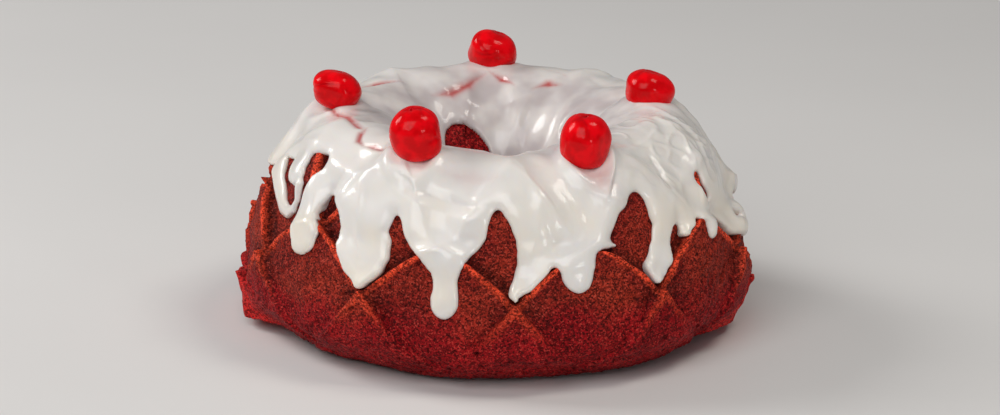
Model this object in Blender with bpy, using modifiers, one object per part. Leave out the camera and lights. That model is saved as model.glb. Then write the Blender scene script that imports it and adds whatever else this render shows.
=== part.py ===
"""Bundt cake with poured icing and five cherries.

The cake is a turned ring whose outside, crest and hole carry the raised diamond lattice of the tin.
The icing is one poured layer over the crest that runs down both sides in drips.
Frame: origin at the middle of the underside, +Z up, one lattice crossing facing -Y.
Angles are degrees from -Y towards +X.  A row is the lattice's own height coordinate: it grows by 1
from one ring of crossings to the next, from the foot over the crest and down the hole.
"""

import math

import bmesh
import bpy
import numpy as np

MM = 0.001

# The cake
CELLS = 10                     # diamonds round the ring
STEPS_PER_CELL = 8
FIRST_ROW = 0.10
CREST_ROW = 2.0
LAST_ROW = 3.62
PROFILE = (                    # row, radius mm, height mm of the sunk level between the ribs
    (FIRST_ROW, 84.0, 0.0),
    (0.22, 93.5, 1.5),
    (0.50, 107.0, 10.5),
    (0.72, 114.0, 21.5),
    (0.80, 114.0, 27.5),
    (1.00, 110.0, 42.5),
    (1.25, 105.0, 54.0),
    (1.50, 99.5, 64.5),
    (1.625, 96.0, 74.5),
    (1.75, 90.0, 84.5),
    (1.875, 82.5, 92.0),
    (CREST_ROW, 75.0, 96.0),
    (2.25, 56.0, 92.5),
    (2.50, 41.0, 79.0),
    (2.75, 32.5, 60.0),
    (3.00, 28.0, 42.0),
    (3.50, 22.5, 8.0),
    (LAST_ROW, 21.5, 0.0),
)
RELIEF_HEIGHT = (              # row, height mm of the ribs over the sunk level
    (FIRST_ROW, 0.0),
    (0.5, 2.5),
    (0.75, 6.0),
    (1.0, 8.5),
    (1.3, 10.0),
    (1.5, 9.5),
    (1.8, 7.0),
    (2.0, 4.5),
    (2.4, 3.5),
    (3.3, 2.0),
    (LAST_ROW, 0.0),
)
RIB_FALL = 0.045               # part of a cell over which a rib drops to the next diamond
WIDEST_ROW = 0.8
TOP_ROWS = (1.5, 2.7)          # rows between which the cake's top lies
SEARCH_ROWS = 200              # rows looked through for a height or a radius
FOOT_ROWS = (FIRST_ROW, 0.2, 0.34)
FINE_ROWS = (0.5, 2.0)         # rows between which the lattice is modelled finely
HOLE_ROWS = (2.25, 2.5, 2.78, 3.15, LAST_ROW)
DIP_DEPTH = 4.5                # mm that the crest sags at one place
DIP_ANGLE = 8.0
DIP_SPREAD = 17.0              # degrees
DIP_ROW = 2.06
DIP_ROW_SPREAD = 0.26
LIPS = (                       # batter that ran over the tin: angle, half width, radius at top and foot
    (-95.0, 20.0, 120.5, 118.5),
    (92.0, 30.0, 118.8, 112.0),
)
LIP_TOP = 22.0
LIP_FOOT = 5.0
LIP_ENDS = 2.2                 # how steeply a lip grows from its ends
CAKE_SHARP = 35.0              # degrees between faces that makes an edge sharp

# The icing
ICING_THICK = 3.4
SOFT_LEVEL = 0.76              # part of the ribs' height at which the icing's underside lies on average
SOFT_WAVE = 0.09               # part of it by which the icing still follows each slant of ribs
SOFT_SHIFT = 0.08              # rows that the icing's waves lie below the ribs
DRIP_SWELL = 0.8               # extra thickness where a drip ends
SWELL_ROWS = 0.3               # rows above a drip's end over which it thins again
EDGE_ROLL = 0.055              # rows over which the icing's edge rounds down
EDGE_SUNK = 1.5
CORE_SUNK = 9.0
CREST_GAP = 0.13               # rows on either side of the crest without a station
OUTER_STATIONS = 5
INNER_STATIONS = 4
CORE_STATIONS = 5
DRIP_PARTS = (-1.0, -0.8, -0.35, 0.35, 0.8, 1.0)   # columns across a drip, in half widths
DRIP_POINT = 3                 # power that shapes a drip's end: a higher one makes it blunter
WEB_STEP = 8.0                 # degrees, at most, between columns of the web
ICING_SHARP = 50.0             # degrees between faces that makes an edge sharp
MERGE = 0.005                  # mm within which points are one
INNER_EDGE_ROW = 2.86
DRIPS = (                      # angle, half width, height mm of its end, height mm of the web after it
    (-76.0, 9.0, 58.0, 84.0),
    (-57.5, 6.5, 49.5, 74.0),
    (-36.5, 8.5, 43.5, 73.0),
    (-16.0, 9.0, 35.0, 77.0),
    (1.0, 4.8, 44.5, 58.0),
    (14.5, 7.5, 45.5, 79.0),
    (37.0, 6.5, 45.0, 71.0),
    (48.5, 3.0, 57.0, 62.0),
    (57.0, 3.2, 53.0, 58.0),
    (75.0, 9.0, 45.0, 62.0),
    (94.0, 7.0, 50.0, 73.0),
    (111.0, 7.5, 42.0, 77.0),
    (131.0, 5.5, 57.0, 76.0),
    (149.0, 8.0, 46.0, 82.0),
    (171.0, 8.5, 38.0, 78.0),
    (194.0, 6.0, 58.0, 78.0),
    (214.0, 8.0, 44.0, 80.0),
    (236.0, 6.5, 53.0, 75.0),
    (256.0, 8.0, 60.0, 68.0),
)
INNER_DRIPS = (                # angle, half width, rows the inner edge runs down or, if less, stops short
    (-157.0, 46.0, -0.40),
    (-118.0, 14.0, 0.16),
    (-62.0, 15.0, -0.12),
    (-15.0, 18.0, 0.20),
    (40.0, 16.0, -0.10),
    (88.0, 17.0, 0.14),
    (135.0, 15.0, -0.06),
    (172.0, 12.0, 0.12),
)

# The cherries
GAP = 0.3                      # between touching pieces
CHERRIES = (                   # angle, radius from the axis, width, height, mm sunk, lean, lean towards
    (-32.0, 80.0, 23.4, 23.0, 1.8, 6.0, -60.0),
    (25.3, 79.8, 22.8, 22.0, 1.8, 4.0, 40.0),
    (95.0, 70.8, 22.0, 17.5, 2.6, 8.0, 10.0),
    (177.7, 78.0, 24.0, 18.5, 2.6, 18.0, 5.0),
    (-98.6, 74.7, 22.8, 16.5, 1.8, 13.0, 10.0),
)
CHERRY_CLEAR = 0.8             # at least, over the cake
CHERRY_DIMPLE = 1.2
DIMPLE_FROM = 0.8              # part of the way up a cherry where its dimple starts
CHERRY_LOBES = 0.03
CHERRY_SEGMENTS = 12
CHERRY_RINGS = 8
SEAT_ANGLE = 10.0              # degrees and rows on either side in which the cake under a cherry is felt for
SEAT_ROWS = 0.3
SEAT_SAMPLES = 41


def steady_curve(stations, row):
    """A smooth curve through stations of (row, value, ...), one column of values each."""
    table = np.array(stations, dtype=float)
    rows = table[:, 0]
    values = table[:, 1:]
    row = np.clip(np.asarray(row, dtype=float), rows[0], rows[-1])
    width = np.diff(rows)[:, None]
    slope = np.diff(values, axis=0) / width
    tangent = np.empty_like(values)
    tangent[0] = slope[0]
    tangent[-1] = slope[-1]
    tangent[1:-1] = (width[1:] * slope[:-1] + width[:-1] * slope[1:]) / (width[1:] + width[:-1])
    index = np.clip(np.searchsorted(rows, row) - 1, 0, len(rows) - 2)
    span = width[index, 0]
    t = ((row - rows[index]) / span)[..., None]
    span = span[..., None]
    return ((2 * t**3 - 3 * t**2 + 1) * values[index]
            + (t**3 - 2 * t**2 + t) * span * tangent[index]
            + (3 * t**2 - 2 * t**3) * values[index + 1]
            + (t**3 - t**2) * span * tangent[index + 1])


def outward(row):
    """The profile's outward direction at a row, as (radial, up)."""
    step = 1e-3
    ahead = steady_curve(PROFILE, np.asarray(row) + step)
    behind = steady_curve(PROFILE, np.asarray(row) - step)
    along = ahead - behind
    across = np.stack([along[..., 1], -along[..., 0]], axis=-1)
    return across / np.linalg.norm(across, axis=-1, keepdims=True)


def rib_height(row):
    """Height in mm of the ribs over the sunk level."""
    table = np.array(RELIEF_HEIGHT)
    return np.interp(row, table[:, 0], table[:, 1])


def scale_shape(phase):
    """Rises steadily through one cell, then drops over the last part of it."""
    phase = np.mod(phase, 1.0)
    return np.where(phase < 1 - RIB_FALL, phase / (1 - RIB_FALL), (1 - phase) / RIB_FALL)


def crest_dip(angle, row):
    """Depth in mm of the crest's sag."""
    away = (np.mod(np.asarray(angle) - DIP_ANGLE + 180.0, 360.0) - 180.0) / DIP_SPREAD
    rows_away = (row - DIP_ROW) / DIP_ROW_SPREAD
    return DIP_DEPTH * np.exp(-away**2 - rows_away**2)


def lattice(angle, row):
    """Height in mm of the diamond lattice: each diamond's upper edges stand proud of the next one."""
    cell = np.asarray(angle) * CELLS / 360.0
    both_ways = scale_shape(row + cell) + scale_shape(row - cell)
    return rib_height(row) * both_ways / 2 - crest_dip(angle, row)


def soft_lattice(angle, row):
    """The same lattice as it shows through a thick layer."""
    cell = np.asarray(angle) * CELLS / 360.0
    waves = np.cos(math.tau * (row + cell + SOFT_SHIFT)) + np.cos(math.tau * (row - cell + SOFT_SHIFT))
    return rib_height(row) * (SOFT_LEVEL + SOFT_WAVE * waves) - crest_dip(angle, row)


def towards_rib(phase):
    """Move the mesh line below each rib up to the rib's edge, which makes the drop behind it steep."""
    line = 1 / STEPS_PER_CELL
    on_last_line = np.round(np.mod(phase, 1.0) / line) == STEPS_PER_CELL - 1
    return phase + np.where(on_last_line, line - RIB_FALL, 0.0)


def on_lattice_lines(angle, row):
    """Angle and row of a mesh point after its lines along both slants have moved to the ribs."""
    cell = angle * CELLS / 360.0
    rising = towards_rib(row + cell)
    falling = towards_rib(row - cell)
    return (rising - falling) / 2 * 360.0 / CELLS, (rising + falling) / 2


def with_lips(angle, radius, height):
    """The radius in mm after the overflowed batter has been added to it."""
    share = np.clip((height - LIP_FOOT) / (LIP_TOP - LIP_FOOT), 0, 1)
    level = (height > LIP_FOOT) & (height < LIP_TOP)
    for middle, half_width, top_radius, foot_radius in LIPS:
        across = np.clip(1 - np.abs((angle - middle) / half_width), 0, 1)
        reach = foot_radius + (top_radius - foot_radius) * share - radius
        radius = radius + np.maximum(reach, 0) * np.minimum(1, LIP_ENDS * across) * level
    return radius


def on_ring(angle, row, lift):
    """A point in metres at an angle and row, lift mm over the sunk level."""
    angle = np.asarray(angle, dtype=float)
    row = np.asarray(row, dtype=float)
    level = steady_curve(PROFILE, row)
    lifted = level + outward(row) * np.asarray(lift)[..., None]
    radius = lifted[..., 0]
    height = lifted[..., 1]
    radius = np.where(row < CREST_ROW, with_lips(angle, radius, height), radius)
    turn = np.radians(angle)
    return np.stack([radius * np.sin(turn), -radius * np.cos(turn), height], axis=-1) * MM


def material(name, colour, roughness):
    """A plain Principled material."""
    finish = bpy.data.materials.new(name)
    finish.use_nodes = True
    shader = finish.node_tree.nodes["Principled BSDF"]
    shader.inputs["Base Color"].default_value = (*colour, 1.0)
    shader.inputs["Roughness"].default_value = roughness
    shader.inputs["Metallic"].default_value = 0.0
    return finish


def add_object(name, mesh, collection):
    """Link a new object that shows a mesh."""
    made = bpy.data.objects.new(name, mesh)
    collection.objects.link(made)
    return made


def as_cutter(obj):
    """Keep a guide out of the finished object."""
    obj.hide_render = True
    obj.display_type = "WIRE"


def evaluated_mesh(obj):
    """The object's mesh with its modifiers applied, as a new mesh."""
    bpy.context.view_layer.update()
    graph = bpy.context.evaluated_depsgraph_get()
    return bpy.data.meshes.new_from_object(obj.evaluated_get(graph))


def profile_rows():
    """Rows of the turned profile: fine where the lattice is bold, coarse at the foot and in the hole."""
    steps = round((FINE_ROWS[1] - FINE_ROWS[0]) * STEPS_PER_CELL)
    fine = np.linspace(*FINE_ROWS, steps + 1)
    return np.array([*FOOT_ROWS, *fine, *HOLE_ROWS])


def turned_ring(name, rows, collection):
    """A closed profile of the sunk level turned round Z with a Screw modifier."""
    level = steady_curve(PROFILE, rows)[::-1]
    mesh = bpy.data.meshes.new(name)
    points = [(radius * MM, 0.0, height * MM) for radius, height in level]
    count = len(points)
    loop = [(i, (i + 1) % count) for i in range(count)]
    mesh.from_pydata(points, loop, [])
    ring = add_object(name, mesh, collection)
    screw = ring.modifiers.new("turn", "SCREW")
    screw.angle = math.tau
    screw.steps = CELLS * STEPS_PER_CELL
    screw.render_steps = screw.steps
    screw.use_merge_vertices = True
    screw.merge_threshold = 0.00001
    return ring


def split_along_relief(mesh, rows_of, angles_of, lift):
    """Split each four-sided face along the diagonal that lies closer to the real surface."""
    shape = bmesh.new()
    shape.from_mesh(mesh)
    for face in list(shape.faces):
        if len(face.verts) != 4:
            continue
        corners = [v.index for v in face.verts]
        spots = np.array([v.co for v in face.verts])
        turn = angles_of[corners]
        turn = np.where(turn - turn[0] > 180, turn - 360, np.where(turn - turn[0] < -180, turn + 360, turn))
        angle = turn.mean()
        row = rows_of[corners].mean()
        middle = on_ring(angle, row, lattice(angle, row) + lift)
        first = np.linalg.norm((spots[0] + spots[2]) / 2 - middle)
        second = np.linalg.norm((spots[1] + spots[3]) / 2 - middle)
        start = 0 if first <= second else 1
        bmesh.utils.face_split(face, face.verts[start], face.verts[start + 2])
    shape.to_mesh(mesh)
    shape.free()


def cake_body(name, collection, lift=0.0):
    """The ring of cake with its lattice, all of it lift mm larger than it is."""
    rows = profile_rows()
    ring = turned_ring(name, rows, collection)
    mesh = evaluated_mesh(ring)
    ring.modifiers.clear()
    ring.data = mesh
    level = steady_curve(PROFILE, rows) * MM
    points = np.array([v.co for v in mesh.vertices])
    flat = np.stack([np.hypot(points[:, 0], points[:, 1]), points[:, 2]], axis=-1)
    nearest = np.argmin(np.linalg.norm(flat[:, None] - level[None], axis=-1), axis=1)
    rows_of = rows[nearest]
    angles_of = np.degrees(np.arctan2(points[:, 0], -points[:, 1]))
    fine = (rows_of >= FINE_ROWS[0]) & (rows_of < FINE_ROWS[1])
    moved_angles, moved_rows = on_lattice_lines(angles_of, rows_of)
    angles_of = np.where(fine, moved_angles, angles_of)
    ends = (rows_of == FIRST_ROW) | (rows_of == LAST_ROW)
    rows_of = np.where(fine, moved_rows, rows_of)
    placed = on_ring(angles_of, rows_of, lattice(angles_of, rows_of) + lift)
    placed[ends, 2] = -lift * MM
    for vertex, spot in zip(mesh.vertices, placed):
        vertex.co = spot
    split_along_relief(mesh, rows_of, angles_of, lift)
    mesh.shade_smooth()
    mesh.set_sharp_from_angle(angle=math.radians(CAKE_SHARP))
    return ring


def row_at_height(height):
    """The row on the outside where the sunk level reaches a height in mm."""
    rows = np.linspace(WIDEST_ROW, CREST_ROW, SEARCH_ROWS)
    return np.interp(height, steady_curve(PROFILE, rows)[:, 1], rows)


def drip_columns():
    """Angle, edge row and swell of each upright line of the icing, all the way round."""
    columns = []
    web = DRIPS[-1][3]
    for angle, half_width, end, next_web in DRIPS:
        for part in DRIP_PARTS:
            side = web if part < 0 else next_web
            height = end + (side - end) * abs(part) ** DRIP_POINT
            columns.append((angle + part * half_width, row_at_height(height), 1 - part**2))
        web = next_web
    spread = []
    for i, column in enumerate(columns):
        spread.append(column)
        after = columns[(i + 1) % len(columns)]
        gap = (after[0] - column[0]) % 360
        between = int(gap // WEB_STEP)
        for j in range(1, between + 1):
            share = j / (between + 1)
            row = column[1] + (after[1] - column[1]) * share
            spread.append((column[0] + gap * share, row, 0.0))
    return spread


def inner_edge_row(angle):
    """The row where the icing stops in the hole."""
    row = INNER_EDGE_ROW
    for middle, half_width, reach in INNER_DRIPS:
        away = abs((angle - middle + 180) % 360 - 180) / half_width
        if away < 1:
            row += reach * (1 + math.cos(math.pi * away)) / 2
    return row


def icing_section(angle, edge_row, swell):
    """One upright section of the poured layer: over the top from edge to edge, then back inside the cake."""
    inner = inner_edge_row(angle)
    first = edge_row + EDGE_ROLL
    last = inner - EDGE_ROLL
    over = np.concatenate([
        [edge_row],
        np.linspace(first, CREST_ROW - CREST_GAP, OUTER_STATIONS),
        np.linspace(CREST_ROW + CREST_GAP, last, INNER_STATIONS),
        [inner],
    ])
    thick = ICING_THICK + DRIP_SWELL * swell * np.clip(1 - (over - edge_row) / SWELL_ROWS, 0, 1)
    lift = soft_lattice(angle, over) + thick
    lift[0] = lattice(angle, edge_row) - EDGE_SUNK
    lift[-1] = lattice(angle, inner) - EDGE_SUNK
    under = np.linspace(inner, edge_row, CORE_STATIONS)
    rows = np.concatenate([over, under])
    lifts = np.concatenate([lift, np.full(len(under), -CORE_SUNK)])
    return on_ring(np.full(len(rows), angle), rows, lifts)


def loft_ring(name, sections, collection):
    """Join closed sections of equal length into one closed ring."""
    shape = bmesh.new()
    rings = [[shape.verts.new(spot) for spot in section] for section in sections]
    count = len(sections[0])
    for i, ring in enumerate(rings):
        after = rings[(i + 1) % len(rings)]
        for j in range(count):
            k = (j + 1) % count
            shape.faces.new((ring[j], after[j], after[k], ring[k]))
    bmesh.ops.recalc_face_normals(shape, faces=shape.faces)
    mesh = bpy.data.meshes.new(name)
    shape.to_mesh(mesh)
    shape.free()
    return add_object(name, mesh, collection)


def cut_away(obj, cutters):
    """Take the cutters from an object and keep its largest body."""
    for cutter in cutters:
        cut = obj.modifiers.new("cut", "BOOLEAN")
        cut.operation = "DIFFERENCE"
        cut.solver = "EXACT"
        cut.object = cutter
    mesh = evaluated_mesh(obj)
    obj.modifiers.clear()
    shape = bmesh.new()
    shape.from_mesh(mesh)
    bmesh.ops.remove_doubles(shape, verts=shape.verts, dist=MERGE * MM)
    bmesh.ops.dissolve_degenerate(shape, edges=shape.edges, dist=MERGE * MM)
    bmesh.ops.triangulate(shape, faces=shape.faces)
    islands = []
    waiting = set(shape.verts)
    while waiting:
        found = {waiting.pop()}
        edge = list(found)
        while edge:
            for link in edge.pop().link_edges:
                for vert in link.verts:
                    if vert in waiting:
                        waiting.remove(vert)
                        found.add(vert)
                        edge.append(vert)
        islands.append(found)
    largest = max(islands, key=len)
    bmesh.ops.delete(shape, geom=[v for v in shape.verts if v not in largest], context="VERTS")
    shape.to_mesh(mesh)
    shape.free()
    mesh.shade_smooth()
    mesh.set_sharp_from_angle(angle=math.radians(ICING_SHARP))
    obj.data = mesh


def row_at_radius(radius):
    """The row near the crest where the sunk level has a radius in mm."""
    rows = np.linspace(*TOP_ROWS, SEARCH_ROWS)
    return np.interp(-radius, -steady_curve(PROFILE, rows)[:, 0], rows)


def cherry_centre(angle, radius, width, height, sunk):
    """Where a cherry's middle is: sunk a little in the icing, and clear of the cake's ribs."""
    row = row_at_radius(radius)
    seat = on_ring(angle, row, soft_lattice(angle, row) + ICING_THICK)
    turn = math.radians(angle)
    centre = np.array([radius * MM * math.sin(turn), -radius * MM * math.cos(turn),
                       seat[2] + (height / 2 - sunk) * MM])
    angles, rows = np.meshgrid(np.linspace(angle - SEAT_ANGLE, angle + SEAT_ANGLE, SEAT_SAMPLES),
                               np.linspace(row - SEAT_ROWS, row + SEAT_ROWS, SEAT_SAMPLES))
    sponge = on_ring(angles, rows, lattice(angles, rows))
    away = np.hypot(sponge[..., 0] - centre[0], sponge[..., 1] - centre[1]) / (width / 2 * MM)
    below = away < 1
    needed = sponge[below][:, 2] + height / 2 * MM * np.sqrt(1 - away[below] ** 2)
    centre[2] = max(centre[2], needed.max() + CHERRY_CLEAR * MM)
    return centre


def cherry(name, index, collection, grown=0.0):
    """One cherry, grown mm larger all round: a round with a dimple where its stalk was."""
    angle, radius, width, height, sunk, lean, towards = CHERRIES[index]
    shape = bmesh.new()
    bmesh.ops.create_uvsphere(shape, u_segments=CHERRY_SEGMENTS, v_segments=CHERRY_RINGS, radius=1.0)
    for vertex in shape.verts:
        spot = vertex.co
        dimple = CHERRY_DIMPLE * max(0.0, spot.z - DIMPLE_FROM) / (1 - DIMPLE_FROM)
        lobes = 1 + CHERRY_LOBES * math.sin(3 * math.atan2(spot.y, spot.x) + index)
        spot.x *= (width / 2 * lobes + grown) * MM
        spot.y *= (width / 2 * lobes + grown) * MM
        spot.z *= (height / 2 + grown) * MM
        spot.z -= dimple * MM
    mesh = bpy.data.meshes.new(name)
    shape.to_mesh(mesh)
    shape.free()
    mesh.shade_smooth()
    fruit = add_object(name, mesh, collection)
    fruit.location = cherry_centre(angle, radius, width, height, sunk)
    fruit.rotation_euler = (0.0, math.radians(lean), math.radians(towards))
    return fruit


def main():
    for old in list(bpy.data.objects):
        bpy.data.objects.remove(old, do_unlink=True)
    scene = bpy.context.scene
    parts = bpy.data.collections.new("bundt_cake")
    cutters = bpy.data.collections.new("cutters")
    scene.collection.children.link(parts)
    scene.collection.children.link(cutters)

    sponge = material("red_sponge", (0.20, 0.025, 0.015), 0.9)
    glaze = material("white_icing", (0.86, 0.80, 0.72), 0.25)
    fruit_skin = material("glace_cherry", (0.50, 0.004, 0.010), 0.15)

    cake = cake_body("cake", parts)
    cake.data.materials.append(sponge)

    grown_cake = cake_body("grown_cake", cutters, GAP)
    as_cutter(grown_cake)
    icing_cutters = [grown_cake]
    for index in range(len(CHERRIES)):
        fruit = cherry("cherry_%d" % (index + 1), index, parts)
        fruit.data.materials.append(fruit_skin)
        grown_fruit = cherry("grown_cherry_%d" % (index + 1), index, cutters, GAP)
        as_cutter(grown_fruit)
        icing_cutters.append(grown_fruit)

    sections = [icing_section(*column) for column in drip_columns()]
    icing = loft_ring("icing", sections, parts)
    cut_away(icing, icing_cutters)
    icing.data.materials.append(glaze)


main()
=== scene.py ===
"""Looks of a bundt cake: a red sponge with the tin's diamond lattice, poured icing and five cherries.

Lengths are in millimetres until a mesh is made.  Angles are degrees from -Y towards +X.  A row is the
lattice's own height coordinate: it grows by 1 from one ring of crossings to the next, from the foot over
the crest and down the hole, as in the CAD model.
"""

import math

import bpy
import numpy as np
from mathutils import Matrix, Vector

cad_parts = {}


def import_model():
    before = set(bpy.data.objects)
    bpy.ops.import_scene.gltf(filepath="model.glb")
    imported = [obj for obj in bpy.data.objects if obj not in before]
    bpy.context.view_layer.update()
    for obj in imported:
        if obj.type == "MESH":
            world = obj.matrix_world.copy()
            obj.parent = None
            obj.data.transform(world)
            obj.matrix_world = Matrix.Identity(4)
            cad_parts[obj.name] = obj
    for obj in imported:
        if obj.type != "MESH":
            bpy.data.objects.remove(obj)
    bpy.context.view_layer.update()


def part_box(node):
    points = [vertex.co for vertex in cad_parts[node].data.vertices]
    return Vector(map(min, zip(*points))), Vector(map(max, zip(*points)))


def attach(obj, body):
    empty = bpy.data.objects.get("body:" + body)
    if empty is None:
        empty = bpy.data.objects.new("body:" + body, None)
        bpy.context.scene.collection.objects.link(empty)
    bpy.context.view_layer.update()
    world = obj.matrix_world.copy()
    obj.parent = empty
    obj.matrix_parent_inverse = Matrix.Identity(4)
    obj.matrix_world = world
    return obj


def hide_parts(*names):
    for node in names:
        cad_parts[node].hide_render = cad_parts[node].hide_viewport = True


MM = 0.001
TURN = 360.0  # degrees

# The ring, as in the CAD model
CELLS = 10
FIRST_ROW = 0.10
OUTER_ROW = 0.8  # the first row of the side that leans in
CREST_ROW = 2.0
LAST_ROW = 3.62
PROFILE_SAMPLES = 2000
OUTER_SAMPLES = 400
PROFILE = (  # row, radius, height of the sunk level between the ribs
    (FIRST_ROW, 84.0, 0.0),
    (0.22, 93.5, 1.5),
    (0.50, 107.0, 10.5),
    (0.72, 114.0, 21.5),
    (0.80, 114.0, 27.5),
    (1.00, 110.0, 42.5),
    (1.25, 105.0, 54.0),
    (1.50, 99.5, 64.5),
    (1.625, 96.0, 74.5),
    (1.75, 90.0, 84.5),
    (1.875, 82.5, 92.0),
    (CREST_ROW, 75.0, 96.0),
    (2.25, 56.0, 92.5),
    (2.50, 41.0, 79.0),
    (2.75, 32.5, 60.0),
    (3.00, 28.0, 42.0),
    (3.50, 22.5, 8.0),
    (LAST_ROW, 21.5, 0.0),
)
RELIEF_HEIGHT = (  # row, height of the ribs over the sunk level; lower under row 1 than in the CAD
    (FIRST_ROW, 0.0),
    (0.5, 1.6),
    (0.75, 4.6),
    (1.0, 8.5),
    (1.3, 10.0),
    (1.5, 9.5),
    (1.8, 7.0),
    (2.0, 4.5),
    (2.4, 3.5),
    (3.3, 2.0),
    (LAST_ROW, 0.0),
)
MEAN_RELIEF = 6.0  # height at which distances round the ring are taken
LIPS = (  # batter run over the tin's edge: angle, half width, radius at its top and foot
    (-95.0, 20.0, 120.5, 118.5),
    (92.0, 30.0, 118.8, 112.0),
)
LIP_TOP = 22.0
LIP_FOOT = 5.0
LIP_RAGGED = 1.2  # that its edge comes and goes
LIP_STEEP = 2.2  # how soon its ends reach the full width
LIP_COLOUR = 3.0  # thickness at which it has its own colour in full

# The sponge's surface
SPONGE_STEPS = 80  # mesh lines to a cell
GRID_ROWS = (0.5, 1.9, 2.9)  # where the mesh lines change their spacing
GATHER_IN = (0.45, 0.62)  # rows over which the mesh lines begin to gather at the ribs
GATHER_OUT = (1.88, 1.75)
ROW_PASSES = 4  # that find the rows where the lattice has its even rows
RIB_FALL = 0.040  # part of a cell over which a rib drops to the next diamond
RIM_HEIGHT = 0.12  # the raised rim along a rib, as a part of the rib's height
RIM_WIDTH = 0.045  # in cells
RIM_EDGES = (1.3, 0.7)  # rim widths from a rib's edge over which the rim rises
RIM_COLOUR = (1.35, 0.8)  # the same for its orange-red colour and painted highlight
FALL_COLOUR = (0.3, 0.7)  # parts of the drop over which that colour ends, and over which the painted shade on the drop comes in
RIB_COLOUR_IN = (0.72, 1.08)  # rows over which the ribs' colour, their painted highlight and the painted shade behind them start
RIB_COLOUR_OUT = (2.5, 2.1)
HOLLOW_SHADE_WIDTH = 0.22  # in cells, of the painted shade at the foot of a drop
SAG_ROWS = (0.5, 3.3)  # between which the sponge sags in full
ROUGH_ROWS = (0.3, 3.4)  # between which it is rough in full
BULGE = 0.035  # rows that the sides of the diamonds bulge upwards
BULGE_ROWS = (1.0, 1.5)
RISE = 0.04  # rows that the lattice climbs and falls round the ring
RISE_LOWEST = 10.0  # angle where it is lowest
RISE_IN = (0.3, 0.9)  # rows over which the climb begins
RISE_OUT = (2.2, 1.7)
SAG_WAVES = ((0.7, 55.0, 11), (0.35, 17.0, 12))  # height, wavelength, seed
GRAIN_WAVES = ((0.16, 5.5, 21), (0.12, 2.6, 22))
PIT_WAVE = (3.6, 23)  # wavelength, seed
PIT_LEVEL = 1.25  # of the ripple over which there is a pit
PIT_DEPTH = 0.9
BELT_TOP = (44.0, 24.0)  # heights between which the panels turn into the moister belt
SAGS = (  # depth, or less than 0 to raise; middle and spread in degrees, then in rows
    (4.5, 8.0, 17.0, 2.06, 0.26),
    (-1.3, 180.0, 80.0, 2.02, 0.20),
    (3.6, -94.0, 9.0, 1.45, 0.06),
    (-3.8, -95.0, 9.0, 1.56, 0.06),
)

# The icing's outline: each flow is a chain of rounds (angle, height, half width) from its root to its end
ICING_EDGE = (  # angle, height of the poured edge between the flows
    (-180, 80), (-165, 82), (-150, 78), (-128, 81), (-112, 75), (-98, 70),
    (-92, 71.5), (-88, 74), (-82, 79), (-75, 81), (-70, 83.5), (-66, 86.5),
    (-62, 88), (-57, 83), (-52, 75.5), (-31, 75), (-3, 80), (8, 70), (20, 76),
    (29, 78), (34.5, 81), (41, 78), (49, 74), (54, 63.5), (60, 63), (66, 60),
    (76, 58), (86, 59), (101, 72), (121, 76), (140, 84), (160, 78), (180, 80),
)
STRANDS = (
    ((-86, 77, 6.5), (-81, 71.6, 5.2), (-76.6, 66, 5), (-72.8, 62.6, 4.3), (-69, 61.6, 3.4),
     (-66.2, 64.2, 2.3), (-64.9, 69.5, 1.6), (-65.6, 75, 2)),
    ((-72, 86, 8), (-71.6, 81, 8.4), (-68.8, 78, 5.2)),
)
FLOWS = (
    ((-54.5, 86, 7), (-57.6, 78, 6.4), (-58.8, 71.5, 6.4), (-58.6, 65, 7), (-56.9, 60, 7.3),
     (-55.4, 57.6, 7)),
    ((-56.2, 59, 6), (-57.4, 51.8, 2.8), (-53.8, 53.2, 2.8)),
    ((-40.5, 82, 14), (-39.6, 73, 14.6), (-39, 66, 12.4), (-37.9, 58.5, 11.6), (-36.8, 54.5, 7.6)),
    ((-42.6, 62, 5), (-42.8, 58.5, 4.6), (-39.6, 51.5, 3.6), (-36.2, 46, 2.2)),
    ((-33.6, 62, 4.2), (-32.6, 56.5, 4), (-33.8, 51, 3.4), (-36.1, 46, 2.2)),
    ((-17.5, 83, 24), (-17.6, 73.5, 19.5), (-17.2, 69, 16), (-16.7, 64, 12.7), (-16.3, 59, 9.4),
     (-16, 54.5, 6.9), (-16, 49, 6), (-16, 40.8, 6.3)),
    ((2.8, 78, 9.5), (3.2, 73.8, 7), (4.3, 69.5, 6.8), (4.6, 62.6, 6.9), (3.8, 56.5, 6.2),
     (1.8, 50, 4.2), (-0.2, 45.8, 2.6), (0.1, 43.4, 1.2)),
    ((9.5, 66, 9), (9, 60.5, 5), (0.8, 47.4, 2.3)),
    ((13.5, 80, 22), (13.8, 75, 18), (15.3, 70.5, 13.5), (15.2, 66, 11), (14.6, 59, 8.8),
     (14.4, 51.8, 7.3)),
    ((27, 80, 6.5), (24.6, 75.5, 5.5), (22.4, 70, 4.8), (21, 65.8, 4)),
    ((20.5, 66.5, 4.2), (23.4, 62.6, 2), (24.8, 61.6, 0.8)),
    ((43.4, 77, 10), (42.5, 71.5, 8.2), (41.2, 65.5, 5.4), (39.6, 58.5, 5.2), (38.3, 54, 5.8),
     (36.6, 50.2, 4.4), (35.5, 47, 2.2), (35, 45.2, 0.9)),
    ((36.8, 53.2, 4.5), (34.3, 51.4, 2.7)),
    ((50, 70, 7), (49.3, 63.5, 4.8), (47.6, 59.8, 3)),
    ((57.8, 66, 7), (57.6, 58.5, 5), (56.8, 55.8, 3.2)),
    ((71, 66, 14), (74, 57, 10.5), (78, 51.5, 8.5)),
)
HIDDEN_FLOWS = (  # angle, half width, height of its end, for the sides and the back
    (94, 6.6, 52), (111, 7.2, 42), (131, 5.4, 58), (149, 7.4, 46), (171, 6.8, 38),
    (194, 5.6, 60), (214, 7.4, 44), (234, 6, 54), (250, 6.4, 62),
)
HIDDEN_ROOT = 84.0  # heights of their root and neck
HIDDEN_NECK = 74.0
HIDDEN_SLIM = 16.0  # over its end, where a hidden flow is slim
FLOW_FILLET = 5.0  # where a flow leaves the poured edge
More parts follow.
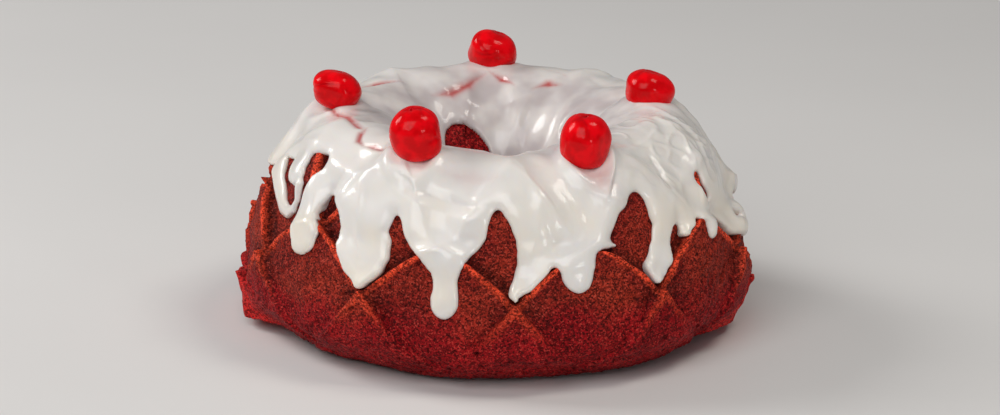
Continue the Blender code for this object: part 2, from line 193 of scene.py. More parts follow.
STRAND_FILLET = 1.2
EDGE_WAVES = ((0.30, 15, 31), (0.10, 6, 32))  # height, wavelength, seed
POCKETS = (  # half width, then (angle, row) points of a gap where the icing tore open
    (2.2, (61.2, 1.67), (61.6, 1.62), (63.4, 1.57)),
    (1, (77, 1.26), (79, 1.20)),
)
SWIRLS = (  # height, half width, (angle, row) points of a ridge or, under 0, a crease
    (1.2, 2.8, (-66, 1.83), (-61, 1.80), (-55, 1.77), (-48, 1.77), (-41, 1.79)),
    (0.7, 1.8, (-47.5, 1.76), (-49.5, 1.68), (-52, 1.60)),
    (-0.7, 1.8, (-51.5, 1.76), (-53.5, 1.68), (-56, 1.58)),
    (0.8, 2.2, (-44, 1.74), (-42, 1.68), (-41, 1.60), (-40, 1.44), (-38, 1.26)),
    (-1.2, 2.2, (-36, 1.82), (-32, 1.79), (-25, 1.75), (-18, 1.73), (-11, 1.69), (-6, 1.69)),
    (1, 2.6, (-33, 1.73), (-26, 1.69), (-19, 1.66), (-12, 1.63), (-7, 1.64)),
    (-0.8, 3.2, (-31.5, 1.68), (-32, 1.60), (-33, 1.48)),
    (0.8, 2.6, (-8, 1.60), (-9, 1.50), (-10.5, 1.38)),
    (0.7, 2.8, (4, 1.86), (7, 1.72), (6, 1.58), (4, 1.44)),
    (-0.8, 2.6, (8, 1.62), (10, 1.52), (8.5, 1.42)),
    (0.8, 2.8, (13, 1.76), (16, 1.66), (18, 1.56), (16.5, 1.42)),
    (0.9, 1.8, (20, 1.76), (25, 1.70), (29, 1.68), (33, 1.70)),
    (-0.8, 2.6, (19, 1.84), (24, 1.78), (29, 1.75)),
    (0.8, 2, (28, 1.80), (34, 1.79), (39, 1.80)),
    (-1.2, 1.8, (48.5, 1.86), (48.5, 1.80), (47.5, 1.74), (47.5, 1.66)),
    (1.3, 2.6, (50, 1.84), (49.5, 1.75), (53, 1.69), (60, 1.69), (66, 1.74), (67, 1.82)),
    (0.9, 2.4, (66, 1.86), (60, 1.93), (53, 1.93)),
    (1, 2.2, (30, 1.98), (38, 1.95), (45, 1.93), (52, 1.90)),
    (1.2, 2.4, (72, 2.12), (66, 2.04), (58, 2.02), (50, 2.04)),
    (1, 2, (85, 2.06), (80, 1.96), (78, 1.86), (73, 1.77), (68, 1.68)),
    (-0.9, 2, (80, 1.74), (75, 1.66), (72, 1.56)),
    (0.9, 2.2, (-88, 1.60), (-87, 1.72), (-81, 1.82)),
    (0.9, 2.2, (-81, 1.72), (-75, 1.79), (-67, 1.83)),
    (0.6, 3.4, (-28, 2.00), (-20, 1.94), (-8, 1.90), (4, 1.90), (14, 1.94)),
    (0.8, 3, (-150, 2.22), (-166, 2.36), (177, 2.40), (160, 2.32)),
    (1, 3, (120, 1.84), (132, 1.92), (146, 1.90), (158, 1.80)),
    (-0.9, 2.4, (112, 2.04), (126, 2.12), (140, 2.06)),
    (1, 2.6, (-102, 1.76), (-118, 1.84), (-134, 1.80), (-148, 1.86)),
    (0.9, 2.8, (100, 1.62), (104, 1.80), (98, 1.96)),
    (0.9, 2.6, (-166, 1.66), (-172, 1.80), (172, 1.88)),
)
SHOWING = (  # strength, half width, (angle, row) points of a rib that shows through red
    (1, 0.9, (-99, 1.94), (-90, 2.00), (-78, 2.04), (-64, 2.03), (-59, 2.04)),
    (1, 1, (-61.5, 2.06), (-59.5, 2.01), (-57, 1.96), (-52, 1.93)),
    (0.9, 0.8, (-54, 1.94), (-48, 1.945), (-37, 1.92)),
    (1, 1.2, (-118, 2.02), (-129, 2.06), (-140, 2.13)),
    (1, 1.7, (-148, 2.27), (-158, 2.29), (-169, 2.24), (-179, 2.13)),
    (1, 1.3, (180, 2.11), (174, 2.18), (167, 2.25)),
    (1, 1.5, (158, 2.26), (152, 2.19), (146, 2.17)),
    (0.7, 1, (158, 2.06), (146, 2.10)),
    (0.5, 1.6, (65, 2.06), (60, 2.04)),
    (0.35, 4, (19, 1.86), (25, 1.79), (30, 1.73)),
    (0.15, 3.4, (-24, 1.88), (-12, 1.84), (-2, 1.82)),
    (0.7, 0.9, (77.5, 1.28), (80, 1.20)),
    (0.5, 0.9, (118, 2.12), (110, 2.05)),
)
SHOWING_DEPTH = 1.3  # of the dip in the icing along them
INNER_EDGE_ROW = 2.86
INNER_DRIPS = (  # angle, half width, rows that the inner edge runs down or, under 0, stops short
    (-155, 50, -0.40),
    (-118, 14, 0.16),
    (-62, 15, -0.12),
    (-15, 18, 0.20),
    (40, 16, -0.10),
    (88, 17, 0.14),
    (135, 15, -0.06),
    (172, 12, 0.12),
)
ICING_COLUMNS = 900
ICING_STEP = 0.7  # between mesh rows outside the crest
ICING_INNER_STEP = 1.0  # between mesh rows inside it
ICING_LOWEST = 34.0
ICING_LAST_ROW = 3.12
ICING_THICK = 3.3
ICING_SWELL = 1.3  # more, at a flow's end
SWELL_REACH = 1.1  # half widths
SWELL_FULL = 4.5  # half width from which a flow's end swells in full
STROKE_REACH = 3  # half widths, over which a ridge fades
STROKE_FALL = 4.5  # how steeply it fades
STROKE_TAPER = 0.15
ICING_WAVES = ((0.30, 26.0, 33), (0.08, 11.0, 34))  # height, wavelength, seed
ICING_WAVES_OUT = (2.35, 2.0)  # rows over which the waves end
FOLD_HEIGHT = 0.7
FOLD_WAVE = (13.0, 35)  # wavelength, seed
FOLD_MIDDLE = 68.0
FOLD_SPREAD = 26.0
FOLD_IN = (1.5, 1.75)
FOLD_OUT = (2.4, 2.1)
ICING_ROLL = 5.0  # over which the icing rounds down to its edge
ICING_EDGE_PART = 0.35  # of the thickness that is left at the edge
ICING_COVER = 0.8  # at least, over a rib
ICING_FILLET = 2.6  # where the cover over a rib meets the rest
ICING_BRIDGE = 14.0  # radius of the hollows that the icing fills
BRIDGE_REACH = 16.0  # over which it looks for them
ICING_SOFT = 2.4  # over which its underside is smoothed
ICING_SINK = 0.4  # that it settles
ICING_TUCK = 1.1  # that its underside runs back under the edge
ICING_UNDER = 0.8  # that the underside's edge lies inside the sponge
TUCK_RINGS = ((0.0, 0.3), (ICING_TUCK, 1.0))  # back under the edge, and the part of the way down
SHADE_INSIDE_ROWS = (1.9, 2.25)  # rows over which the icing is greyed with painted shade, over the crest and inside
THIN_BELOW = (3.0, 1.4)  # thickness below which it looks thin, and most so
SNAP_PART = 0.52  # of a mesh step, within which a point moves onto the outline
LEAST_INSIDE = 0.02  # that a triangle reaches inside the outline
LEAST_SLOPE = 0.2  # of the depth inside it

CHERRIES = (  # node, width, height, lean and where to in degrees, fullness below, collar
    ("cherry_1", 23.4, 23, 10, 180, 0.40, 2.8),
    ("cherry_2", 22.8, 22, 4, 10, 0.60, 3.4),
    ("cherry_3", 22, 17.5, 15, 10, 0.45, 1.2),
    ("cherry_4", 24, 18.5, 20, 5, 0.45, 0.8),
    ("cherry_5", 22.8, 16.5, 17, 10, 0.50, 1.6),
)
COLLAR_WIDTH = 3.4  # of the icing that a cherry has pushed up round itself
COLLAR_UNDER = 1.0  # that the collar's top lies inside the cherry's widest ring
COLLAR_ROW = 1.6  # over which there are collars
CHERRY_DEEP = 0.16  # part by which a cherry's lower half is deeper, down in the icing
CHERRY_LOBES = 0.030
CHERRY_UNEVEN = 0.026
WRINKLES = 9
WRINKLE_WIDTH = 0.045  # as parts of the radius, like the depths
WRINKLE_DEPTH = 0.022
WRINKLE_SPREAD = (0.35, 0.6)
DIMPLE_WIDTH = 0.30
DIMPLE_DEPTH = 0.10
CHERRY_SEGMENTS = 96
CHERRY_RINGS = 64


# ---- The ring's geometry

def steady_curve(stations, row):
    """A smooth curve through stations of (row, value, ...), one column of values each."""
    table = np.array(stations, dtype=float)
    rows = table[:, 0]
    values = table[:, 1:]
    row = np.clip(np.asarray(row, dtype=float), rows[0], rows[-1])
    width = np.diff(rows)[:, None]
    slope = np.diff(values, axis=0) / width
    tangent = np.empty_like(values)
    tangent[0] = slope[0]
    tangent[-1] = slope[-1]
    tangent[1:-1] = (width[1:] * slope[:-1] + width[:-1] * slope[1:]) / (width[1:] + width[:-1])
    index = np.clip(np.searchsorted(rows, row) - 1, 0, len(rows) - 2)
    span = width[index, 0]
    t = ((row - rows[index]) / span)[..., None]
    span = span[..., None]
    return ((2 * t**3 - 3 * t**2 + 1) * values[index]
            + (t**3 - 2 * t**2 + t) * span * tangent[index]
            + (3 * t**2 - 2 * t**3) * values[index + 1]
            + (t**3 - t**2) * span * tangent[index + 1])


def outward(row):
    """The profile's outward direction at a row, as (radial, up)."""
    step = 1e-3
    along = steady_curve(PROFILE, np.asarray(row) + step) - steady_curve(PROFILE, np.asarray(row) - step)
    across = np.stack([along[..., 1], -along[..., 0]], axis=-1)
    return across / np.linalg.norm(across, axis=-1, keepdims=True)


def smooth_step(low, high, value):
    """0 below low, 1 above high, and smooth between."""
    t = np.clip((np.asarray(value, dtype=float) - low) / (high - low), 0, 1)
    return t * t * (3 - 2 * t)


def turned_by(angle, middle):
    """The signed angle from middle, between -180 and 180."""
    return np.mod(angle - middle + TURN / 2, TURN) - TURN / 2


def ring_angles(columns):
    """Evenly spaced angles once round the ring."""
    return np.arange(columns) * TURN / columns - TURN / 2


def in_cells(angle):
    """An angle counted in cells."""
    return np.asarray(angle) * CELLS / TURN


def ripple(points, wavelength, seed, waves=24):
    """Smooth noise of about unit height at points in mm: plane waves in random directions."""
    random = np.random.default_rng(seed)
    total = np.zeros(points.shape[:-1])
    for _ in range(waves):
        way = random.normal(size=3)
        way *= math.tau / wavelength * random.uniform(0.7, 1.4) / np.linalg.norm(way)
        total += np.cos(points @ way + random.uniform(0, math.tau))
    return total * math.sqrt(2 / waves)


def ripples(points, layers):
    """Ripples of (height, wavelength, seed) layers added up."""
    return sum(height * ripple(points, wavelength, seed) for height, wavelength, seed in layers)


def scale_shape(phase):
    """Rises through one cell to a raised rim, then drops over a rounded edge."""
    phase = np.mod(phase, 1.0)
    top = 1 - RIB_FALL
    outer, inner = RIM_EDGES
    rise = phase / top + RIM_HEIGHT * smooth_step(outer * RIM_WIDTH, inner * RIM_WIDTH, top - phase)
    fall = (1 + RIM_HEIGHT) * (1 - smooth_step(top, 1.0, phase))
    return np.where(phase < top, rise, fall)


def lattice_row(angle, row):
    """The row as the lattice has it, which climbs a little towards one side of the ring."""
    climb = RISE * (1 - np.cos(np.radians(angle - RISE_LOWEST)))
    level = row - climb * smooth_step(*RISE_IN, row) * smooth_step(*RISE_OUT, row)
    start, end = BULGE_ROWS
    return level - BULGE * np.maximum(np.sin(math.tau * (np.clip(level, start, end) - start)), 0)


def relief(angle, row):
    """Height of the diamond lattice over the sunk level."""
    height = np.interp(row, *np.array(RELIEF_HEIGHT).T)
    cell = in_cells(angle)
    row = lattice_row(angle, row)
    return height * (scale_shape(row + cell) + scale_shape(row - cell)) / 2


def rib_phases(angle, row):
    """How far each point is through its cell, along the ribs that climb one way and the other."""
    cell = in_cells(angle)
    row = lattice_row(angle, row)
    return np.mod(row + cell, 1.0), np.mod(row - cell, 1.0)


def rib_closeness(angle, row):
    """1 on the rims along the ribs, 0 away from them; it places their orange-red colour and painted
    highlight.
    """
    found = np.zeros(np.shape(angle))
    outer, inner = RIM_COLOUR
    last, first = FALL_COLOUR
    for phase in rib_phases(angle, row):
        rim = smooth_step(outer * RIM_WIDTH, inner * RIM_WIDTH, 1 - RIB_FALL - phase)
        found = np.maximum(found, rim * smooth_step(1 - last * RIB_FALL, 1 - first * RIB_FALL, phase))
    return found


def hollow_shade_closeness(angle, row):
    """1 on the drop behind a rib and at its foot, 0 away from it; it places the painted shade there."""
    found = np.zeros(np.shape(angle))
    for phase in rib_phases(angle, row):
        drop = smooth_step(1 - RIB_FALL, 1 - FALL_COLOUR[0] * RIB_FALL, phase)
        found = np.maximum(found, np.maximum(drop, smooth_step(HOLLOW_SHADE_WIDTH, 0.0, phase)))
    return found


def with_lips(angle, radius, height, ragged):
    """The radius after the overflowed batter has been added to it."""
    share = np.clip((height - LIP_FOOT) / (LIP_TOP - LIP_FOOT), 0, 1)
    level = (height > LIP_FOOT) & (height < LIP_TOP + LIP_RAGGED * ragged)
    for middle, half_width, top_radius, foot_radius in LIPS:
        across = np.clip(1 - np.abs(turned_by(angle, middle) / half_width), 0, 1)
        edge = top_radius - LIP_RAGGED + LIP_RAGGED * ragged
        reach = foot_radius + (edge - foot_radius) * share - radius
        radius = radius + np.maximum(reach, 0) * np.minimum(1, LIP_STEEP * across) * level
    return radius


def on_ring(angle, row, lift):
    """A point in mm at an angle and row, lift over the sunk level."""
    level = steady_curve(PROFILE, row)
    lifted = level + outward(row) * np.asarray(lift)[..., None]
    turn = np.radians(angle)
    radius = lifted[..., 0]
    return np.stack([radius * np.sin(turn), -radius * np.cos(turn), lifted[..., 1]], axis=-1)


def between(row, low, high):
    """1 between two rows, and less towards the first and the last row, where it is 0."""
    return smooth_step(FIRST_ROW, low, row) * smooth_step(LAST_ROW, high, row)


def sponge_lift(angle, row):
    """The sponge's height over the sunk level, with the unevenness of a baked surface."""
    flat = on_ring(angle, row, np.zeros(np.shape(angle)))
    lift = relief(angle, row) + ripples(flat, SAG_WAVES) * between(row, *SAG_ROWS)
    for depth, middle, spread, middle_row, row_spread in SAGS:
        away = (turned_by(angle, middle) / spread) ** 2 + ((row - middle_row) / row_spread) ** 2
        lift = lift - depth * np.exp(-away)
    return lift


def profile_lengths():
    """Rows along the sunk profile and the length along it from its first row to each."""
    rows = np.linspace(FIRST_ROW, LAST_ROW, PROFILE_SAMPLES)
    level = steady_curve(PROFILE, rows)
    run = np.concatenate([[0.0], np.cumsum(np.linalg.norm(np.diff(level, axis=0), axis=1))])
    return rows, run


def outer_row(height):
    """The row on the outside where the sunk level reaches a height."""
    rows = np.linspace(OUTER_ROW, CREST_ROW, OUTER_SAMPLES)
    return np.interp(height, steady_curve(PROFILE, rows)[:, 1], rows)


# ---- Meshes

def grid_faces(columns, rows, closed=False):
    """Four-sided faces of a grid of rows x columns vertices whose columns close round the ring."""
    row, column = np.meshgrid(np.arange(rows if closed else rows - 1), np.arange(columns), indexing="ij")
    after = (column + 1) % columns
    above = (row + 1) % rows
    faces = np.stack([row * columns + column, row * columns + after, above * columns + after,
                      above * columns + column], axis=-1)
    return faces.reshape(-1, 4)


def split_along(values, faces):
    """Triangles from four-sided faces, each cut along the diagonal whose ends' values differ less."""
    first = np.linalg.norm(values[faces[:, 0]] - values[faces[:, 2]], axis=1)
    second = np.linalg.norm(values[faces[:, 1]] - values[faces[:, 3]], axis=1)
    near = faces[first <= second]
    far = faces[first > second]
    return np.concatenate([near[:, [0, 1, 2]], near[:, [0, 2, 3]], far[:, [0, 1, 3]], far[:, [1, 2, 3]]])


def mesh_object(name, points, faces, values):
    """A smooth-shaded object from points in mm, faces, and named values of each point for its material."""
    used = np.unique(faces)
    place = np.full(len(points), -1)
    place[used] = np.arange(len(used))
    mesh = bpy.data.meshes.new(name)
    mesh.from_pydata(points[used] * MM, [], place[faces].tolist())
    for label, value in values.items():
        layer = mesh.attributes.new(label, "FLOAT", "POINT")
        layer.data.foreach_set("value", np.ascontiguousarray(value.ravel()[used], dtype=np.float32))
    mesh.shade_smooth()
    made = bpy.data.objects.new(name, mesh)
    bpy.context.scene.collection.objects.link(made)
    return made


def gather_at_ribs(phase):
    """Move mesh lines closer together at a rib's edge, where the surface bends most."""
    pull = 0.5
    return phase - pull / math.tau * np.sin(math.tau * (phase - 1 + RIB_FALL / 2))


def sponge_grid():
    """Angles and rows of the sponge's mesh lines, which gather at the ribs' edges."""
    steps = SPONGE_STEPS
    low, crest, inner = GRID_ROWS
    first = np.linspace(FIRST_ROW, low, steps * 4 // 10)[:-1]
    last = np.linspace(inner, LAST_ROW, steps // 4)
    outside = np.arange(low, crest, 1 / steps)
    inside = np.arange(crest, inner, 2.5 / steps)
    angles, rows = np.meshgrid(ring_angles(CELLS * steps), np.concatenate([first, outside, inside, last]))
    gathered = smooth_step(*GATHER_IN, rows) * smooth_step(*GATHER_OUT, rows)
    rising = gather_at_ribs(rows + in_cells(angles))
    falling = gather_at_ribs(rows - in_cells(angles))
    angles = angles + gathered * ((rising - falling) / 2 * TURN / CELLS - angles)
    even = rows + gathered * ((rising + falling) / 2 - rows)
    rows = even
    for _ in range(ROW_PASSES):
        rows = rows + even - lattice_row(angles, rows)
    return angles, rows


def sponge():
    """The whole ring of sponge, with its lattice, crumb and overflowed batter."""
    angles, rows = sponge_grid()
    lift = sponge_lift(angles, rows)
    points = on_ring(angles, rows, lift)
    pits = np.maximum(ripple(points, *PIT_WAVE) - PIT_LEVEL, 0) * PIT_DEPTH
    rough = (ripples(points, GRAIN_WAVES) - pits) * between(rows, *ROUGH_ROWS)
    points = on_ring(angles, rows, lift + rough)
    radius = np.hypot(points[..., 0], points[..., 1])
    ragged = ripple(points * (1, 1, 0), 9.0, 24)
    wide = np.where(rows < CREST_ROW, with_lips(angles, radius, points[..., 2], ragged), radius)
    points[..., :2] *= (wide / radius)[..., None]
    points[..., 2] = np.maximum(points[..., 2], 0.0)
    points[0, :, 2] = 0.0
    points[-1, :, 2] = 0.0

    # Rows where the ribs' colour, their painted highlight and the painted shade behind them show
    bold = smooth_step(*RIB_COLOUR_IN, rows) * smooth_step(*RIB_COLOUR_OUT, rows)
    belt = smooth_step(*BELT_TOP, points[..., 2] + 3 * ripple(points, 30.0, 25))
    faces = split_along(lift.reshape(-1, 1), grid_faces(angles.shape[1], angles.shape[0], closed=True))
    values = {
        "rib": rib_closeness(angles, rows) * bold,
        "hollow_shade": hollow_shade_closeness(angles, rows) * bold,
        "belt": np.maximum(belt, smooth_step(2.0, 2.2, rows)),
        "pit": np.clip(pits, 0, 1),
        "lip": np.clip((wide - radius) / LIP_COLOUR, 0, 1),
    }
    return mesh_object("red_sponge", points.reshape(-1, 3), faces, values)


# ---- The icing

def smooth_union(a, b, reach):
    """The larger of two fields, with a fillet of about reach where they meet."""
    mix = np.clip(0.5 + 0.5 * (a - b) / reach, 0, 1)
    return b + (a - b) * mix + reach * mix * (1 - mix)


def blurred(field, spread):
    """A field over columns that close round the ring, averaged over about spread mesh lines each way."""
    away = np.arange(-3 * spread, 3 * spread + 1)
    share = np.exp(-0.5 * (away / spread) ** 2)
    share /= share.sum()
    count = field.shape[0]
    lines = np.arange(count)
    down = sum(s * field[np.clip(lines + k, 0, count - 1)] for k, s in zip(away, share))
    return sum(s * np.roll(down, k, axis=1) for k, s in zip(away, share))


def swollen(sheet, field):
    """How high rounded domes of radius ICING_BRIDGE reach when one stands on every point of a field."""
    across = sheet.degree * TURN / field.shape[1]
    lines = np.arange(field.shape[0])
    reach = int(round(BRIDGE_REACH / sheet.cell))
    wide = field
    for k in range(-reach, reach + 1):
        wide = np.maximum(wide, np.roll(field, k, axis=1) - (k * across) ** 2 / (2 * ICING_BRIDGE))
    tall = wide
    for k in range(-reach, reach + 1):
        other = np.clip(lines + k, 0, len(lines) - 1)
        fall = (sheet.length[other] - sheet.length) ** 2 / (2 * ICING_BRIDGE)
        tall = np.maximum(tall, wide[other] - fall)
    return tall


def icing_base(sheet):
    """Where the icing's underside would lie: the sponge with its hollows filled and its ribs softened."""
    filled = -swollen(sheet, -swollen(sheet, sponge_lift(sheet.angle, sheet.row)))
    return blurred(filled, int(round(ICING_SOFT / sheet.cell)))


class Sheet:
    """The (angle, row) grid that the icing is made on, with its distances in mm."""

    def __init__(self):
        rows, run = profile_lengths()
        self.rows_at = rows
        self.run_at = run
        coarse = 1
        low, crest, high = np.interp((outer_row(ICING_LOWEST), CREST_ROW, ICING_LAST_ROW), rows, run)
        lines = np.concatenate([np.arange(low, crest, ICING_STEP * coarse),
                                np.arange(crest, high, ICING_INNER_STEP * coarse)])
        columns = ICING_COLUMNS // coarse
        self.angle, self.length = np.meshgrid(ring_angles(columns), lines)
        self.cell = ICING_STEP * coarse
        self.update()

    def update(self):
        """Rows and mm per degree from the lengths."""
        self.row = np.interp(self.length, self.run_at, self.rows_at)
        radius = steady_curve(PROFILE, self.row)[..., 0] + MEAN_RELIEF
        self.degree = radius * math.tau / TURN

    def length_at(self, row):
        """Length along the profile at a row."""
        return np.interp(row, self.rows_at, self.run_at)

    def chain(self, rounds):
        """How far inside a chain of (angle, length, half width) rounds each point is, or less than 0."""
        inside = np.full(self.angle.shape, -1e3)
        for (angle, length, width), (to_angle, to_length, to_width) in zip(rounds, rounds[1:]):
            x = turned_by(self.angle, angle) * self.degree
            y = self.length - length
            run = turned_by(to_angle, angle) * self.degree
            rise = to_length - length
            t = np.clip((x * run + y * rise) / (run**2 + rise**2), 0, 1)
            round_width = width + (to_width - width) * t
            inside = np.maximum(inside, round_width - np.hypot(x - run * t, y - rise * t))
        return inside

    def stroke(self, width, points):
        """A soft line of unit height through (angle, row) points, which fades at its sides and ends."""
        spots = [(angle, float(self.length_at(row))) for angle, row in points]
        shape = np.sin(np.linspace(STROKE_TAPER, math.pi - STROKE_TAPER, len(spots))) ** 0.5
        reach = STROKE_REACH * width
        rounds = [(angle, length, reach * part) for (angle, length), part in zip(spots, shape)]
        away = 1 - np.clip(self.chain(rounds) / reach, 0, 1)
        return np.where(away < 1, np.exp(-STROKE_FALL * away**2) - math.exp(-STROKE_FALL), 0.0)


def flow_rounds(sheet, flow):
    """A flow's rounds with lengths along the profile in place of heights."""
    return [(angle, float(sheet.length_at(outer_row(height))), width) for angle, height, width in flow]


def hidden_flow(angle, half_width, end):
    """A plain drip: wide at its root, slim, and rounder at its end."""
    return ((angle - 1.0, HIDDEN_ROOT, 2.0 * half_width), (angle, HIDDEN_NECK, 1.1 * half_width),
            (angle + 0.6, end + HIDDEN_SLIM, 0.8 * half_width),
            (angle + 0.2, end + half_width, half_width * 0.9))


def icing_depth(sheet):
    """How far each point is inside the icing's outline, and how much a flow's end swells there."""
    edge = np.array(ICING_EDGE)
    heights = steady_curve(edge, sheet.angle[0])[:, 0]
    inside = sheet.length - sheet.length_at(outer_row(heights))
    swell = np.zeros(sheet.angle.shape)
    hidden = [hidden_flow(*spec) for spec in HIDDEN_FLOWS]
    for flows, fillet in ((FLOWS + tuple(hidden), FLOW_FILLET), (STRANDS, STRAND_FILLET)):
        for flow in flows:
            rounds = flow_rounds(sheet, flow)
            inside = smooth_union(inside, sheet.chain(rounds), fillet)
            angle, length, width = rounds[-1]
            away = np.hypot(turned_by(sheet.angle, angle) * sheet.degree, sheet.length - length)
            full = min(1.0, width / SWELL_FULL)
            swell = np.maximum(swell, np.exp(-0.5 * (away / (SWELL_REACH * width)) ** 2) * full)
    inner = np.full(sheet.angle.shape[1], INNER_EDGE_ROW)
    for middle, half_width, reach in INNER_DRIPS:
        away = np.clip(np.abs(turned_by(sheet.angle[0], middle)) / half_width, 0, 1)
        inner += reach * (1 + np.cos(math.pi * away)) / 2
    inside = np.minimum(inside, sheet.length_at(inner) - sheet.length)
    for width, *points in POCKETS:
        gap = sheet.chain([(angle, float(sheet.length_at(row)), width) for angle, row in points])
        inside = np.minimum(inside, -gap)
    flat = on_ring(sheet.angle, sheet.row, np.zeros(sheet.angle.shape))
    for height, wavelength, seed in EDGE_WAVES:
        inside = inside + height * ripple(flat, wavelength, seed)
    return inside, swell


def inward_way(sheet, inside):
    """The direction in mm (round the ring, along the profile) in which the depth inside the outline grows."""
    down, across = np.gradient(inside)
    rise = down / np.gradient(sheet.length, axis=0)
    run = across / (TURN / inside.shape[1] * sheet.degree)
    steep = np.maximum(np.hypot(run, rise), LEAST_SLOPE)
    return run / steep, rise / steep, steep


def snap_to_edge(sheet, inside, run, rise, steep):
    """Move the mesh points next to the outline onto it, so that it runs smoothly."""
    across = np.abs(run) * TURN / inside.shape[1] * sheet.degree
    along = np.abs(rise) * np.gradient(sheet.length, axis=0)
    near = np.abs(inside) < SNAP_PART * np.maximum(across, along)
    step = np.where(near, inside / steep, 0)
    sheet.angle = sheet.angle - step * run / sheet.degree
    sheet.length = sheet.length - step * rise
    sheet.update()
    return np.where(near, 0.0, inside)


def faces_inside(points, inside, faces):
    """Triangles of the faces whose corners are inside the outline; a face with one corner out gives one."""
    out = inside[faces] < 0
    one_out = out.sum(axis=1) == 1
    corners = (np.argmax(out[one_out], axis=1)[:, None] + np.array([1, 2, 3])) % 4
    rest = np.take_along_axis(faces[one_out], corners, axis=1)
    found = np.concatenate([split_along(points, faces[~out.any(axis=1)]), rest])
    return found[inside[found].max(axis=1) > LEAST_INSIDE]


def open_edges(triangles):
    """The edges that only one triangle has, in that triangle's direction."""
    edges = np.concatenate([triangles[:, [0, 1]], triangles[:, [1, 2]], triangles[:, [2, 0]]])
    label = edges.min(axis=1) * (triangles.max() + 1) + edges.max(axis=1)
    _, first, times = np.unique(label, return_index=True, return_counts=True)
    return edges[first[times == 1]]


def middle_of(name):
    """The middle in mm of a CAD object's box."""
    low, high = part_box(name)
    return (np.array(low) + np.array(high)) / 2 / MM


def cherry_ring(points, name):
    """Distance in mm of each point from a cherry's middle, seen from above."""
    x, y, _ = middle_of(name)
    return np.hypot(points[..., 0] - x, points[..., 1] - y)


def icing_thickness(sheet, flat, swell):
    """The layer's thickness in mm away from its edges, with ridges, folds and collars round the cherries."""
    waves = ripples(flat, ICING_WAVES) * smooth_step(*ICING_WAVES_OUT, sheet.row)
    thick = ICING_THICK + ICING_SWELL * swell + waves
    for height, width, *points in SWIRLS:
        thick += height * sheet.stroke(width, points)
    rough = np.exp(-(turned_by(sheet.angle, FOLD_MIDDLE) / FOLD_SPREAD) ** 2)
    rough = rough * smooth_step(*FOLD_IN, sheet.row)
    folds = 1 - np.abs(ripple(flat, *FOLD_WAVE))
    thick += FOLD_HEIGHT * rough * smooth_step(*FOLD_OUT, sheet.row) * np.maximum(folds, 0)
    for name, width, *_, collar in CHERRIES:
        away = cherry_ring(flat, name) - width / 2 + COLLAR_UNDER
        thick += collar * np.exp(-((away / COLLAR_WIDTH) ** 2)) * (sheet.row > COLLAR_ROW)
    return thick


def icing():
    """The poured layer: a sheet over the sponge whose rounded edge tucks under itself."""
    sheet = Sheet()
    inside, swell = icing_depth(sheet)
    soft = icing_base(sheet)
    run, rise, steep = inward_way(sheet, inside)
    inside = snap_to_edge(sheet, inside, run, rise, steep)
    exact = sponge_lift(sheet.angle, sheet.row)
    flat = on_ring(sheet.angle, sheet.row, exact)
    showing = np.zeros(sheet.angle.shape)
    for strength, width, *points in SHOWING:
        showing = np.maximum(showing, strength * sheet.stroke(width, points))

    dome = np.sqrt(1 - (1 - np.clip(inside / ICING_ROLL, 0, 1)) ** 2)
    round_edge = ICING_EDGE_PART + (1 - ICING_EDGE_PART) * dome
    thick = icing_thickness(sheet, flat, swell) - SHOWING_DEPTH * showing
    over_ribs = exact + ICING_COVER * round_edge
    lift = smooth_union(soft + thick * round_edge, over_ribs, ICING_FILLET) - ICING_SINK
    points = on_ring(sheet.angle, sheet.row, lift).reshape(-1, 3)
    top = faces_inside(points, inside.ravel(), grid_faces(sheet.angle.shape[1], sheet.angle.shape[0]))

    edges = open_edges(top)
    rim = np.unique(edges)
    edge_lift = lift.ravel()[rim]
    rings = [points]
    place = np.zeros(len(points), dtype=int)
    skirt = []
    before = np.arange(len(points))
    for tuck, part in TUCK_RINGS:
        angle = (sheet.angle + tuck * run / sheet.degree).ravel()[rim]
        row = np.interp((sheet.length + tuck * rise).ravel()[rim], sheet.run_at, sheet.rows_at)
        under = sponge_lift(angle, row) - ICING_UNDER
        place[rim] = len(points) + np.arange(len(rim))
        rings.append(on_ring(angle, row, edge_lift + (under - edge_lift) * part))
        after = place + len(rim) * (len(rings) - 2)
        skirt.append(np.stack([before[edges[:, 1]], before[edges[:, 0]], after[edges[:, 0]]], axis=-1))
        skirt.append(np.stack([before[edges[:, 1]], after[edges[:, 0]], after[edges[:, 1]]], axis=-1))
        before = after
    # Greyed as painted shade over the crest and inside, and greyer where the icing is thin
    veil_shade_and_thin = np.maximum(0.9 * smooth_step(*SHADE_INSIDE_ROWS, sheet.row), 0.7 * smooth_step(*THIN_BELOW, thick))
    none = np.zeros(2 * len(rim))
    values = {"showing": np.append(showing, none), "veil_shade_and_thin": np.append(veil_shade_and_thin, none)}
    return mesh_object("poured_icing", np.concatenate(rings), np.concatenate([top, *skirt]), values)


# ---- The cherries

def random_way(random):
    """A random direction."""
    way = random.normal(size=3)
    return way / np.linalg.norm(way)


def wrinkles(way, seed):
    """Fine bent creases in the skin, in the directions from a cherry's middle."""
    total = np.zeros(way.shape[:-1])
    random = np.random.default_rng(seed)
    for _ in range(WRINKLES):
        axis = random_way(random)
        middle = random_way(random)
        away = np.linalg.norm(way - middle, axis=-1)
        along = np.exp(-(away / random.uniform(*WRINKLE_SPREAD)) ** 2)
        bend = 0.12 * np.sin(4 * (way @ middle) + random.uniform(0, 6))
        total += along * np.exp(-((way @ axis - float(middle @ axis) + bend) / WRINKLE_WIDTH) ** 2)
    return total


